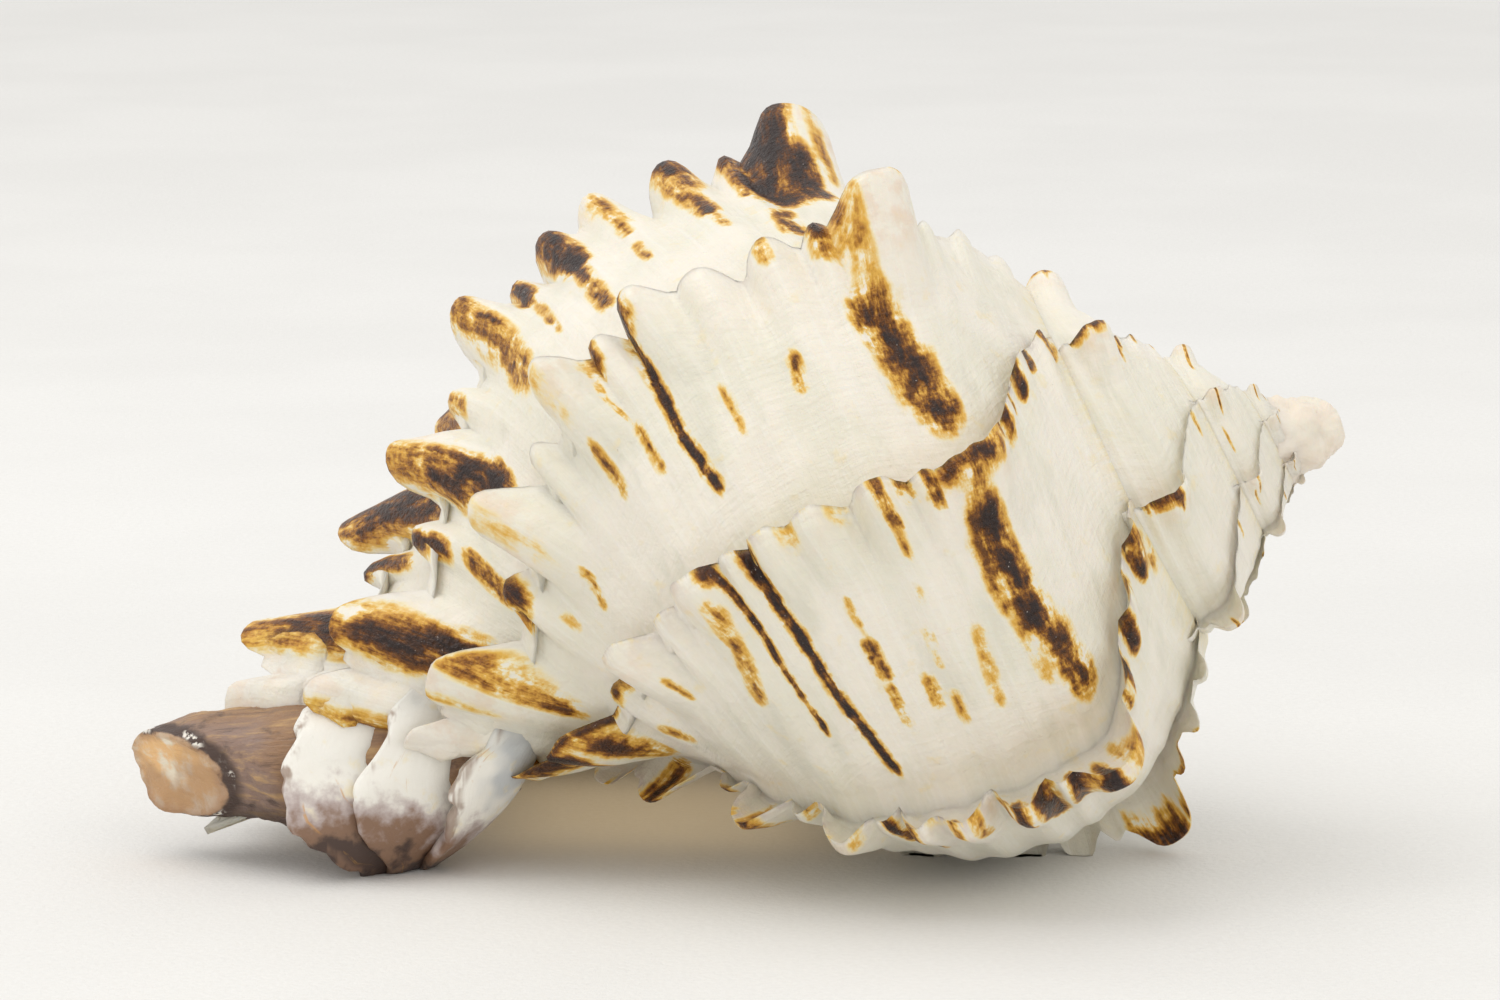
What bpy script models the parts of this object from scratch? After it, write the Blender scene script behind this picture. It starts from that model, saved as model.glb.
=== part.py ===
"""Murex shell: one closed solid with varices, spines, spire, siphonal canal and open aperture."""

import math

import bmesh
import bpy
import numpy as np
from mathutils import Vector

# The model is laid out in millimetres from the apex and scaled to metres at the end.
MM = 0.001

# Pose. The axis falls from the apex to the canal, and the shell leans towards its front.
AXIS_FALL = math.radians(20)
FRONT_LEAN = math.radians(10)
APEX_AT = (56.4, -5.3, 41.4)

# Growth. Angles run round the axis from the front over the top, in degrees.
WHORL_GROWTH = 1.92
FULL_SIZE_ANGLE = 192
# The last varices, oldest first: angle, size of the shoulder spine, length of the other
# spines and shift of the upper half along the axis.
VARICES = (
    (-98, 1.0, 0.85, 0.6),
    (-40, 0.9, 0.95, 1.2),
    (14, 0.6, 0.8, 0.0),
    (56, 1.0, 1.15, -2.2),
    (104, 1.05, 1.0, 0.0),
    (139, 0.9, 1.35, 0.0),
    (190, 0.9, 0.7, 0.0),
)
OLD_VARIX = (0.7, 0.7, 0.0)
SHIFT_FROM = 84.0
SHIFT_TO = 66.0
SPIRE_VARIX_STEP = 53
SPIRE_VARICES = 22
TIP_RADIUS = 2.6
TIP_AT = 1.0

# The lip of the last varix: distance along the axis, radius and how far each point leads
# the shoulder in degrees.
LIP_CURVE = (
    (28.6, 26.5, 40),
    (33.1, 32.6, 28),
    (38.2, 38.7, 14),
    (42.7, 43.2, 4),
    (46.8, 45.3, 0),
    (56.3, 48.3, 0),
    (64.6, 48.3, 0),
    (72.7, 47.3, 0),
    (78.7, 44.9, 0),
    (83.6, 41.6, -2),
    (88.2, 36.8, -3),
    (93.0, 30.0, -7),
    (96.6, 24.3, -12),
    (101.1, 16.7, -26),
    (105.6, 12.1, -40),
    (110.1, 9.9, -50),
    (114.5, 7.9, -60),
    (119.0, 6.7, -72),
)

# Spines of one varix, from suture to canal: distance along the axis, length, half width and
# direction in degrees from the canal end.
SPINES = (
    (31.0, 2.2, 1.6, 125),
    (35.5, 2.6, 1.8, 120),
    (40.5, 3.0, 1.8, 115),
    (46.8, 10.0, 4.6, 106),
    (53.5, 4.6, 1.8, 95),
    (59.0, 5.6, 3.0, 80),
    (67.4, 5.2, 3.0, 70),
    (73.6, 4.4, 2.6, 64),
    (79.0, 2.6, 1.8, 60),
    (84.0, 6.0, 3.4, 54),
    (89.6, 2.6, 1.8, 45),
    (93.6, 7.4, 3.4, 27),
    (98.0, 2.6, 1.8, 30),
    (103.6, 9.0, 3.6, 24),
    (110.0, 7.0, 3.4, 16),
)
SHOULDER_SPINE = 3
SPINE_RUN = 11.0
SPINE_TOP = 0.94
SPINE_POWER = 1.3
SPINE_LEAD = 0.15

# Panels between varices: how far they sink behind a lip, the low cords along them, and the
# sections of one panel as fractions of its width.
PANEL_SINK = 0.07
FLARE_FROM = 0.25
CORD_HEIGHT = 0.9
CORD_AT_START = 0.4
PANEL_SECTIONS = (0.12, 0.25, 0.4, 0.53, 0.65, 0.74, 0.8, 0.86, 0.9, 0.94, 0.97, 1.0)

# Front of a lip, edge first: flare, share of the spines' height and depth behind the edge.
LIP_FRONT = (
    (1, 0.88, 0.08),
    (0.85, 0.5, 0.4),
    (0.45, 0.18, 0.75),
)
LIP_DEPTH = 4.5
MOST_SETBACK = math.radians(14)
AXIS_INSET = 0.96

# Siphonal canal: distance along the axis, rise above it and radius.
CANAL_TUBE = (
    (84.0, -1.0, 5.5),
    (92.0, -0.5, 7.0),
    (99.0, 1.5, 6.8),
    (107.0, 4.2, 6.0),
    (113.0, 5.4, 5.5),
    (118.0, 6.2, 4.8),
)

# Flanges left round the canal by older varices: edge points as distance along the axis,
# radius and angle.
CANAL_FLANGES = (
    ((80.0, 10.5, 20), (84.2, 9.3, -5), (89.1, 9.8, -24), (93.2, 10.6, -62), (97.0, 10.8, -100)),
    ((90.0, 9.6, 44), (95.5, 9.2, 8), (98.2, 9.7, -15), (98.5, 10.4, -55), (97.4, 10.8, -100)),
    ((98.0, 9.2, 75), (103.3, 9.0, 25), (105.0, 9.2, 4), (103.0, 10.0, -36), (97.4, 10.8, -100)),
)
FLANGE_ROOT = 5.0
FLANGE_LENGTH = 9.0
FLANGE_EDGE = 1.2
FLANGE_FRONT = 2.5

# Aperture: outline of the hollow in the last section, and the turn it runs back through.
HOLLOW = (
    (41, 36), (47, 41.5), (56, 44.6), (65, 44.8), (73, 43.6), (79, 41), (84, 37.4), (88, 32),
    (91.5, 25), (94, 17), (93, 10.5), (85, 9), (72, 9.5), (62, 11), (55, 15), (50, 20),
    (45, 25.5), (40.5, 30.5),
)
HOLLOW_TURN = 165
HOLLOW_PAST_LIP = 16
HOLLOW_TAPER = 0.3
GROOVE_WIDTH = 2.4
GROOVE_ANGLE = 225
GROOVE_BOTTOM = 0.1
GROOVE_REACH = 2.2
GROOVE_PAST_END = 2.0

FLOOR_SIZE = 300

# Look.
SHELL_COLOUR = (0.86, 0.83, 0.76, 1)
SHELL_ROUGHNESS = 0.35

# Resolution.
COLUMNS = 130
CURVE_STEPS = 24
TUBE_SIDES = 28
TUBE_SECTIONS = 26
FLANGE_SECTIONS = 24
GROOVE_SECTIONS = 20
HOLLOW_SIDES = 48
HOLLOW_SECTIONS = 30
VOXEL = 0.65
TRIANGLES = 9400


def smooth_curve(points, count):
    """Even samples of a Catmull-Rom curve through the points."""
    knots = np.array(points, float)
    padded = np.vstack([2 * knots[0] - knots[1], knots, 2 * knots[-1] - knots[-2]])
    fine = []
    for i in range(len(knots) - 1):
        p0, p1, p2, p3 = padded[i : i + 4]
        t = np.linspace(0, 1, CURVE_STEPS, endpoint=False)[:, None]
        fine.append(
            0.5
            * (
                2 * p1
                + (p2 - p0) * t
                + (2 * p0 - 5 * p1 + 4 * p2 - p3) * t**2
                + (3 * p1 - p0 - 3 * p2 + p3) * t**3
            )
        )
    fine = np.vstack(fine + [knots[-1:]])
    steps = np.linalg.norm(np.diff(fine[:, :2], axis=0), axis=1)
    length = np.concatenate([[0], np.cumsum(steps)])
    at = np.linspace(0, length[-1], count)
    return np.column_stack([np.interp(at, length, fine[:, i]) for i in range(fine.shape[1])])


def varix_value(g, column):
    """One column of VARICES at growth position g, counted in varices."""
    return float(np.interp(g, range(len(VARICES)), [row[column] for row in VARICES]))


def varix_angle(g):
    """Angle of the shoulder at growth position g."""
    return varix_value(g, 0) + SPIRE_VARIX_STEP * min(g, 0)


def growth(angle):
    """Size of the shell at an angle, where the last varix is 1."""
    return WHORL_GROWTH ** ((angle - FULL_SIZE_ANGLE) / 360)


def smoothstep(x):
    x = np.clip(x, 0, 1)
    return x * x * (3 - 2 * x)


LIP = smooth_curve(LIP_CURVE, COLUMNS)


def spine_profiles(knob, others):
    """Displacement of the lip along the axis and outward, and the low cords behind it."""
    along = np.zeros(COLUMNS)
    outward = np.zeros(COLUMNS)
    cords = np.zeros(COLUMNS)
    steps = np.linalg.norm(np.diff(LIP[:, :2], axis=0), axis=1)
    arc = np.concatenate([[0], np.cumsum(steps)])
    for i, (at, length, half_width, direction) in enumerate(SPINES):
        centre = np.interp(at, LIP[:, 0], arc)
        x = np.abs(arc - centre) / half_width
        shape = np.clip(1 - (x / 1.2) ** 4, 0, 1)
        reach = length * (knob if i == SHOULDER_SPINE else others)
        along += reach * shape * math.cos(math.radians(direction))
        outward += reach * shape * math.sin(math.radians(direction))
        cords += np.exp(-((x / 0.8) ** 2)) * min(1.0, length / 6)
    return along, outward, cords


def to_world(along, radius, angle):
    """Points in metres from a distance along the axis, a radius and an angle in radians."""
    up = Vector((0, math.sin(FRONT_LEAN), math.cos(FRONT_LEAN)))
    front = Vector((0, -math.cos(FRONT_LEAN), math.sin(FRONT_LEAN)))
    right = Vector((1, 0, 0))
    axis = -math.cos(AXIS_FALL) * right - math.sin(AXIS_FALL) * up
    above = -math.sin(AXIS_FALL) * right + math.cos(AXIS_FALL) * up
    across = np.outer(np.cos(angle) * radius, front) + np.outer(np.sin(angle) * radius, above)
    return (np.outer(along, axis) + across + np.array(APEX_AT)) * MM


def ring(k, t, flare=None, drop=1.0, depth=0.0):
    """One section of the skin, closed along the axis.

    It lies at the fraction t of the way from varix k to the next. At a lip, drop is the share
    of a spine's height and depth is how far the section stands back from the lip's edge.
    """
    g = k + t
    angle = varix_angle(g) + LIP[:, 2]
    size = growth(np.maximum(angle, varix_angle(g)))
    varix = math.ceil(g)
    knob, others, shift = OLD_VARIX
    if varix >= 0:
        knob, others, _ = VARICES[varix][1:]
        shift = varix_value(g, 3)
    if flare is None:
        flare = float(smoothstep((t - FLARE_FROM) / (1 - FLARE_FROM)))
    panel = np.radians(varix_angle(k + 1) - varix_angle(k)) * LIP[:, 1]
    start = 1 - np.minimum(0.9, SPINE_RUN / panel)
    spine = drop * np.clip((t - start) / (SPINE_TOP - start), 0, 1) ** SPINE_POWER
    spine_along, spine_out, cords = spine_profiles(knob, others)
    cord = CORD_HEIGHT * cords * (CORD_AT_START + (1 - CORD_AT_START) * flare)
    upper = smoothstep((SHIFT_FROM - LIP[:, 0]) / (SHIFT_FROM - SHIFT_TO))
    along = size * (LIP[:, 0] + spine * spine_along + shift * upper)
    radius = size * (LIP[:, 1] * (1 - PANEL_SINK * (1 - flare)) + spine * spine_out + cord)
    lead = spine * SPINE_LEAD * np.hypot(spine_along, spine_out) / LIP[:, 1]
    setback = np.minimum(depth * LIP_DEPTH / LIP[:, 1], MOST_SETBACK)
    turn = np.radians(angle) + lead - setback
    along = np.concatenate([[along[0] * AXIS_INSET], along, [along[-1]]])
    radius = np.concatenate([[0.0], radius, [0.0]])
    turn = np.concatenate([turn[:1], turn, turn[-1:]])
    return to_world(along, radius, turn)


def skin_rings():
    """Sections from the tip to the last lip. Each panel rises to a lip, which drops back."""
    rings = []
    for k in range(-SPIRE_VARICES, len(VARICES) - 1):
        rings.append(ring(k, 0.0, depth=1))
        rings += [ring(k, t) for t in PANEL_SECTIONS]
        rings += [ring(k, 1.0, flare, drop, depth) for flare, drop, depth in LIP_FRONT]
    return rings


def closed_mesh(name, rings):
    """A mesh of quads between rings, with a fan over each end ring."""
    bm = bmesh.new()
    grid = [[bm.verts.new(p) for p in row] for row in rings]
    count = len(rings[0])
    for a, b in zip(grid, grid[1:]):
        for i in range(count):
            j = (i + 1) % count
            bm.faces.new((a[i], a[j], b[j], b[i]))
    for row in (grid[0], grid[-1]):
        middle = bm.verts.new(sum((v.co for v in row), Vector()) / count)
        for i in range(count):
            bm.faces.new((row[i], row[(i + 1) % count], middle))
    bmesh.ops.recalc_face_normals(bm, faces=bm.faces)
    mesh = bpy.data.meshes.new(name)
    bm.to_mesh(mesh)
    bm.free()
    obj = bpy.data.objects.new(name, mesh)
    bpy.context.scene.collection.objects.link(obj)
    return obj


def tube_rings():
    """Round sections of the canal tube."""
    rings = []
    a = np.linspace(0, 2 * math.pi, TUBE_SIDES, endpoint=False)
    for along, rise, radius in smooth_curve(CANAL_TUBE, TUBE_SECTIONS):
        front = radius * np.cos(a)
        up = radius * np.sin(a) + rise
        at = np.full(TUBE_SIDES, along)
        rings.append(to_world(at, np.hypot(front, up), np.arctan2(up, front)))
    return rings


def flange_rings(edge):
    """Wedge-shaped sections of one flange, from its thin edge down into the canal tube."""
    rings = []
    for along, radius, angle in smooth_curve(edge, FLANGE_SECTIONS):
        turn = np.full(4, math.radians(angle))
        out = np.array([FLANGE_ROOT, radius, radius - FLANGE_EDGE, FLANGE_ROOT - 1])
        at = along + np.array([-FLANGE_LENGTH, 0, 0.3, -FLANGE_FRONT])
        rings.append(to_world(at, out, turn))
    return rings


def hollow_rings():
    """Sections of the hollow, from past the lip back into the whorl."""
    outline = smooth_curve(HOLLOW + HOLLOW[:1], HOLLOW_SIDES + 1)[:-1]
    middle = outline.mean(axis=0)
    lead = np.interp(outline[:, 0], LIP[:, 0], LIP[:, 2])
    rings = []
    for back in np.linspace(-HOLLOW_PAST_LIP, HOLLOW_TURN, HOLLOW_SECTIONS):
        narrow = 1 - HOLLOW_TAPER * max(0, back) / HOLLOW_TURN
        section = middle + (outline - middle) * narrow
        angle = VARICES[-1][0] - back + lead
        size = growth(np.maximum(angle, VARICES[-1][0] - back))
        rings.append(to_world(size * section[:, 0], size * section[:, 1], np.radians(angle)))
    return rings


def groove_rings():
    """Flat sections of the slit that opens the canal along its underside."""
    rings = []
    across = np.array([-0.5, 0.5, 0.5, -0.5]) * GROOVE_WIDTH
    facing = math.radians(GROOVE_ANGLE)
    for along, rise, radius in smooth_curve(CANAL_TUBE, GROOVE_SECTIONS):
        depth = radius * np.array([GROOVE_BOTTOM, GROOVE_BOTTOM, GROOVE_REACH, GROOVE_REACH])
        front = depth * math.cos(facing) - across * math.sin(facing)
        up = depth * math.sin(facing) + across * math.cos(facing) + rise
        if along == CANAL_TUBE[-1][0]:
            along += GROOVE_PAST_END
        rings.append(to_world(np.full(4, along), np.hypot(front, up), np.arctan2(up, front)))
    return rings


def ball(name, radius, along):
    bpy.ops.mesh.primitive_uv_sphere_add(segments=24, ring_count=16, radius=radius * MM)
    obj = bpy.context.object
    obj.name = name
    obj.location = to_world(np.array([along]), np.array([0.0]), np.array([0.0]))[0]
    return obj


def cut(target, cutter):
    """Takes the cutter out of the target."""
    boolean = target.modifiers.new(cutter.name, "BOOLEAN")
    boolean.operation = "DIFFERENCE"
    boolean.solver = "EXACT"
    boolean.object = cutter
    bpy.context.view_layer.objects.active = target
    bpy.ops.object.modifier_apply(modifier=boolean.name)
    bpy.data.objects.remove(cutter)


def fuse(target):
    """Joins everything that touches into one even skin and drops any loose crumb."""
    remesh = target.modifiers.new("fuse", "REMESH")
    remesh.mode = "VOXEL"
    remesh.voxel_size = VOXEL * MM
    bpy.context.view_layer.objects.active = target
    bpy.ops.object.modifier_apply(modifier="fuse")
    bm = bmesh.new()
    bm.from_mesh(target.data)
    left = set(bm.verts)
    bodies = []
    while left:
        body = {left.pop()}
        edge = list(body)
        while edge:
            vert = edge.pop()
            near = {e.other_vert(vert) for e in vert.link_edges} & left
            left -= near
            body |= near
            edge += near
        bodies.append(body)
    bodies.sort(key=len)
    for body in bodies[:-1]:
        bmesh.ops.delete(bm, geom=list(body), context="VERTS")
    bm.to_mesh(target.data)
    bm.free()


def is_closed(mesh):
    """Whether each edge joins two faces."""
    bm = bmesh.new()
    bm.from_mesh(mesh)
    closed = all(len(edge.link_faces) == 2 for edge in bm.edges)
    bm.free()
    return closed


def lighten(target, triangles):
    """Collapses short edges to about this many triangles, or to a few less if that tears it."""
    whole = target.data
    faces = sum(len(p.vertices) - 2 for p in whole.polygons)
    bpy.context.view_layer.objects.active = target
    for share in np.linspace(1, 0.8, 21):
        target.data = whole.copy()
        decimate = target.modifiers.new("lighten", "DECIMATE")
        decimate.ratio = share * triangles / faces
        bpy.ops.object.modifier_apply(modifier="lighten")
        if is_closed(target.data):
            break


def floor_block():
    """What lies below the resting plane, which leaves small worn flats under the shell."""
    bpy.ops.mesh.primitive_cube_add(size=FLOOR_SIZE * MM)
    obj = bpy.context.object
    obj.name = "floor"
    obj.location.z = -0.5 * FLOOR_SIZE * MM
    return obj


def finish(shell):
    """Gives the shell its material and smooth shading."""
    material = bpy.data.materials.new("shell_white")
    material.use_nodes = True
    surface = material.node_tree.nodes["Principled BSDF"]
    surface.inputs["Base Color"].default_value = SHELL_COLOUR
    surface.inputs["Roughness"].default_value = SHELL_ROUGHNESS
    shell.data.materials.clear()
    shell.data.materials.append(material)
    shell.data.shade_smooth()


def clear_scene():
    for obj in list(bpy.data.objects):
        bpy.data.objects.remove(obj)


def main():
    clear_scene()
    pieces = [closed_mesh("tube", tube_rings()), ball("tip", TIP_RADIUS, TIP_AT)]
    pieces += [closed_mesh(f"flange_{i}", flange_rings(e)) for i, e in enumerate(CANAL_FLANGES)]
    shell = closed_mesh("shell", skin_rings())
    for piece in pieces + [shell]:
        piece.select_set(True)
    bpy.context.view_layer.objects.active = shell
    bpy.ops.object.join()
    fuse(shell)
    cut(shell, closed_mesh("hollow", hollow_rings()))
    cut(shell, closed_mesh("groove", groove_rings()))
    fuse(shell)
    lighten(shell, TRIANGLES)
    cut(shell, floor_block())
    finish(shell)


main()
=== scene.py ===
import math

import bpy
import numpy as np
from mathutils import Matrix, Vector, noise


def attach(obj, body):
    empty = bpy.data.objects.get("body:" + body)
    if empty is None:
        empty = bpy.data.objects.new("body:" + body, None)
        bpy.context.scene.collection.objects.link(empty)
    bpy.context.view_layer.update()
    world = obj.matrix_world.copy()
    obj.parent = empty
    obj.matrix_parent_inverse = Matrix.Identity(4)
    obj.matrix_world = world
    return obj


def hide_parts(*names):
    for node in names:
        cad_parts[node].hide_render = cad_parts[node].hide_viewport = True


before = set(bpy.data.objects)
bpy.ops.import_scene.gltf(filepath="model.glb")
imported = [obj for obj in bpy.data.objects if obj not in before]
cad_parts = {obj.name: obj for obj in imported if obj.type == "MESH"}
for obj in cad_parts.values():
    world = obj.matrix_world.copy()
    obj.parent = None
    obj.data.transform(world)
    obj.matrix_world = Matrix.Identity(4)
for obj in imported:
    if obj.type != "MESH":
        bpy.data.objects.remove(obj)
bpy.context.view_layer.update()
print("frame loaded")

mm = 0.001

# The shell's growth, the same values as the solid was built from.
# Lengths are millimetres where the last lip has size 1, angles are degrees.
growthValues = {
    "axisFall": 20,
    "frontLean": 10,
    "apexAt": (56.4, -5.3, 41.4),
    "whorlGrowth": 1.92,
    "fullSizeAngle": 192,
    "spireLipStep": 53,
    "spireLips": 22,
    # angle of each lip, size of its shoulder spine, of its other spines, shift of its upper half
    "lips": (
        (-98, 1.0, 0.85, 0.6),
        (-40, 0.9, 0.95, 1.2),
        (14, 0.6, 0.8, 0.0),
        (56, 1.0, 1.15, -2.2),
        (104, 1.05, 1.0, 0.0),
        (139, 0.9, 1.35, 0.0),
        (190, 0.9, 0.7, 0.0),
    ),
    "oldLip": (0.7, 0.42, 0.0),
    # the fine frills of the spire's lips are worn lower than their knobs
    "oldFrills": 0.35,
    # spines that are worn down: lip, spine counted from the suture, share left
    "wornSpines": ((3, 0, 0.3), (3, 1, 0.3), (3, 2, 0.4), (3, 4, 0.7), (3, 5, 0.45), (3, 6, 0.5),
                   (2, 0, 0.6), (2, 1, 0.6), (6, 14, 0.1)),
    "shiftFrom": 84.0,
    "shiftTo": 66.0,
}

# Outline of a lip from the suture to the canal: along the axis, radius, lead in degrees.
lipOutline = (
    (28.6, 26.5, 40), (33.1, 32.6, 28), (38.2, 38.7, 14), (42.7, 43.2, 4), (46.8, 45.3, 0),
    (56.3, 48.3, 0), (64.6, 48.3, 0), (72.7, 47.3, 0), (78.7, 44.9, 0), (83.6, 41.6, -2),
    (88.2, 36.8, -3), (93.0, 30.0, -7), (96.6, 24.3, -12), (101.1, 16.7, -26),
    (105.6, 12.1, -40), (110.1, 9.9, -50), (114.5, 7.9, -60), (119.0, 6.7, -72),
)

# Spines of a lip: along the axis, length, half width, direction in degrees from the canal.
lipSpines = (
    (31.0, 2.2, 1.6, 125), (35.5, 2.6, 1.8, 120), (40.5, 3.0, 1.8, 115), (46.8, 10.0, 4.6, 106),
    (53.5, 4.6, 1.8, 95), (59.0, 5.6, 3.0, 80), (67.4, 5.2, 3.0, 70), (73.6, 4.4, 2.6, 64),
    (79.0, 2.6, 1.8, 60), (84.0, 6.0, 3.4, 54), (89.6, 2.6, 1.8, 45), (93.6, 7.4, 3.4, 27),
    (98.0, 2.6, 1.8, 30), (103.6, 9.0, 3.6, 24), (110.0, 7.0, 3.4, 16),
)

skinValues = {
    "columns": 168,
    "spireColumns": 70,
    "panelRows": 26,
    "edgeRows": 15,
    "spireRows": 13,
    "shoulderSpine": 3,
    "spineRun": 11.0,
    "spineTop": 0.94,
    "spinePower": 1.3,
    "spineLead": 0.15,
    "spineRound": 3.2,
    "shoulderRound": 5.0,
    # the belly of the lowest panel in the photo is fuller: share, and where along the axis
    "belly": (0.03, 60.0, 16.0),
    "panelSink": 0.07,
    "flareFrom": 0.25,
    "cordHeight": 1.5,
    "cordAtStart": 0.55,
    "lipDepth": 4.5,
    "mostSetback": 14,
    # swells, fine pitting and lumps: height, scale and seed of the noise
    "relief": ((0.42, 0.12, 1), (0.07, 0.6, 2), (0.22, 0.27, 12)),
    "edgeWander": 0.7,
    # from here on the lips run into the canal's tube
    "tuckFrom": 112.0,
    "tuckRun": 5.0,
    "tuckShare": 0.93,
    # the two youngest lips run in earlier, by this much
    "tuckSooner": 3.5,
    "oldRelief": 1.7,
}


def smoothCurve(points, count):
    knots = np.array(points, float)
    padded = np.vstack([2 * knots[0] - knots[1], knots, 2 * knots[-1] - knots[-2]])
    fine = []
    t = np.linspace(0, 1, 24, endpoint=False)[:, None]
    for i in range(len(knots) - 1):
        p0, p1, p2, p3 = padded[i : i + 4]
        fine.append(0.5 * (2 * p1 + (p2 - p0) * t + (2 * p0 - 5 * p1 + 4 * p2 - p3) * t**2
                           + (3 * p1 - p0 - 3 * p2 + p3) * t**3))
    fine = np.vstack(fine + [knots[-1:]])
    length = np.concatenate([[0], np.cumsum(np.linalg.norm(np.diff(fine[:, :2], axis=0), axis=1))])
    at = np.linspace(0, length[-1], count)
    return np.column_stack([np.interp(at, length, fine[:, i]) for i in range(fine.shape[1])])


def smoothStep(x):
    x = np.clip(x, 0, 1)
    return x * x * (3 - 2 * x)


def growth(angle):
    return growthValues["whorlGrowth"] ** ((angle - growthValues["fullSizeAngle"]) / 360)


def lipRow(k):
    # angle and spine sizes of lip k, with the older lips of the spire below 0
    if k >= 0:
        return growthValues["lips"][k]
    first = growthValues["lips"][0][0]
    return (first + growthValues["spireLipStep"] * k,) + growthValues["oldLip"]


def toWorld(along, radius, turn):
    fall = math.radians(growthValues["axisFall"])
    lean = math.radians(growthValues["frontLean"])
    up = np.array((0, math.sin(lean), math.cos(lean)))
    front = np.array((0, -math.cos(lean), math.sin(lean)))
    right = np.array((1.0, 0, 0))
    axis = -math.cos(fall) * right - math.sin(fall) * up
    above = -math.sin(fall) * right + math.cos(fall) * up
    along, radius, turn = np.broadcast_arrays(along, radius, turn)
    place = (along[..., None] * axis + (np.cos(turn) * radius)[..., None] * front
             + (np.sin(turn) * radius)[..., None] * above)
    return (place + np.array(growthValues["apexAt"])) * mm


lip = smoothCurve(lipOutline, skinValues["columns"])
lipArc = np.concatenate([[0], np.cumsum(np.linalg.norm(np.diff(lip[:, :2], axis=0), axis=1))])
# along the axis, with the end drawn in where the lips run into the canal's tube
lipAlong = lip[:, 0] - 0.7 * np.maximum(0, lip[:, 0] - skinValues["tuckFrom"])


def arcAt(along):
    # distance along the lip in millimetres at the lip's own size
    return np.interp(along, lip[:, 0], lipArc)


def spineShapes(knob, others, lipAt):
    # push of each column along the axis and outward, with the low cords behind the spines
    along, outward, cords = np.zeros((3, len(lip)))
    for i, (at, length, halfWidth, direction) in enumerate(lipSpines):
        x = np.abs(lipArc - arcAt(at)) / halfWidth
        blunt = skinValues["shoulderRound"] if i == skinValues["shoulderSpine"] else skinValues["spineRound"]
        shape = np.clip(1 - (x / 1.25) ** blunt, 0, 1)
        worn = [share for k, spine, share in growthValues["wornSpines"] if (k, spine) == (lipAt, i)]
        reach = length * (knob if i == skinValues["shoulderSpine"] else others) * (worn[0] if worn else 1)
        if lipAt < 0 and i < skinValues["shoulderSpine"]:
            reach *= growthValues["oldFrills"]
        along += reach * shape * math.cos(math.radians(direction))
        outward += reach * shape * math.sin(math.radians(direction))
        cords += np.exp(-((x / 0.8) ** 2)) * min(1.0, length / 6)
    return along, outward, cords


def noiseField(points, scale, seed):
    shift = Vector((seed * 7.3, seed * 3.1, seed * 5.7))
    flat = points.reshape(-1, 3) / mm
    found = [noise.noise(Vector(p) * scale + shift) for p in flat]
    return np.array(found).reshape(points.shape[:-1])


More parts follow.
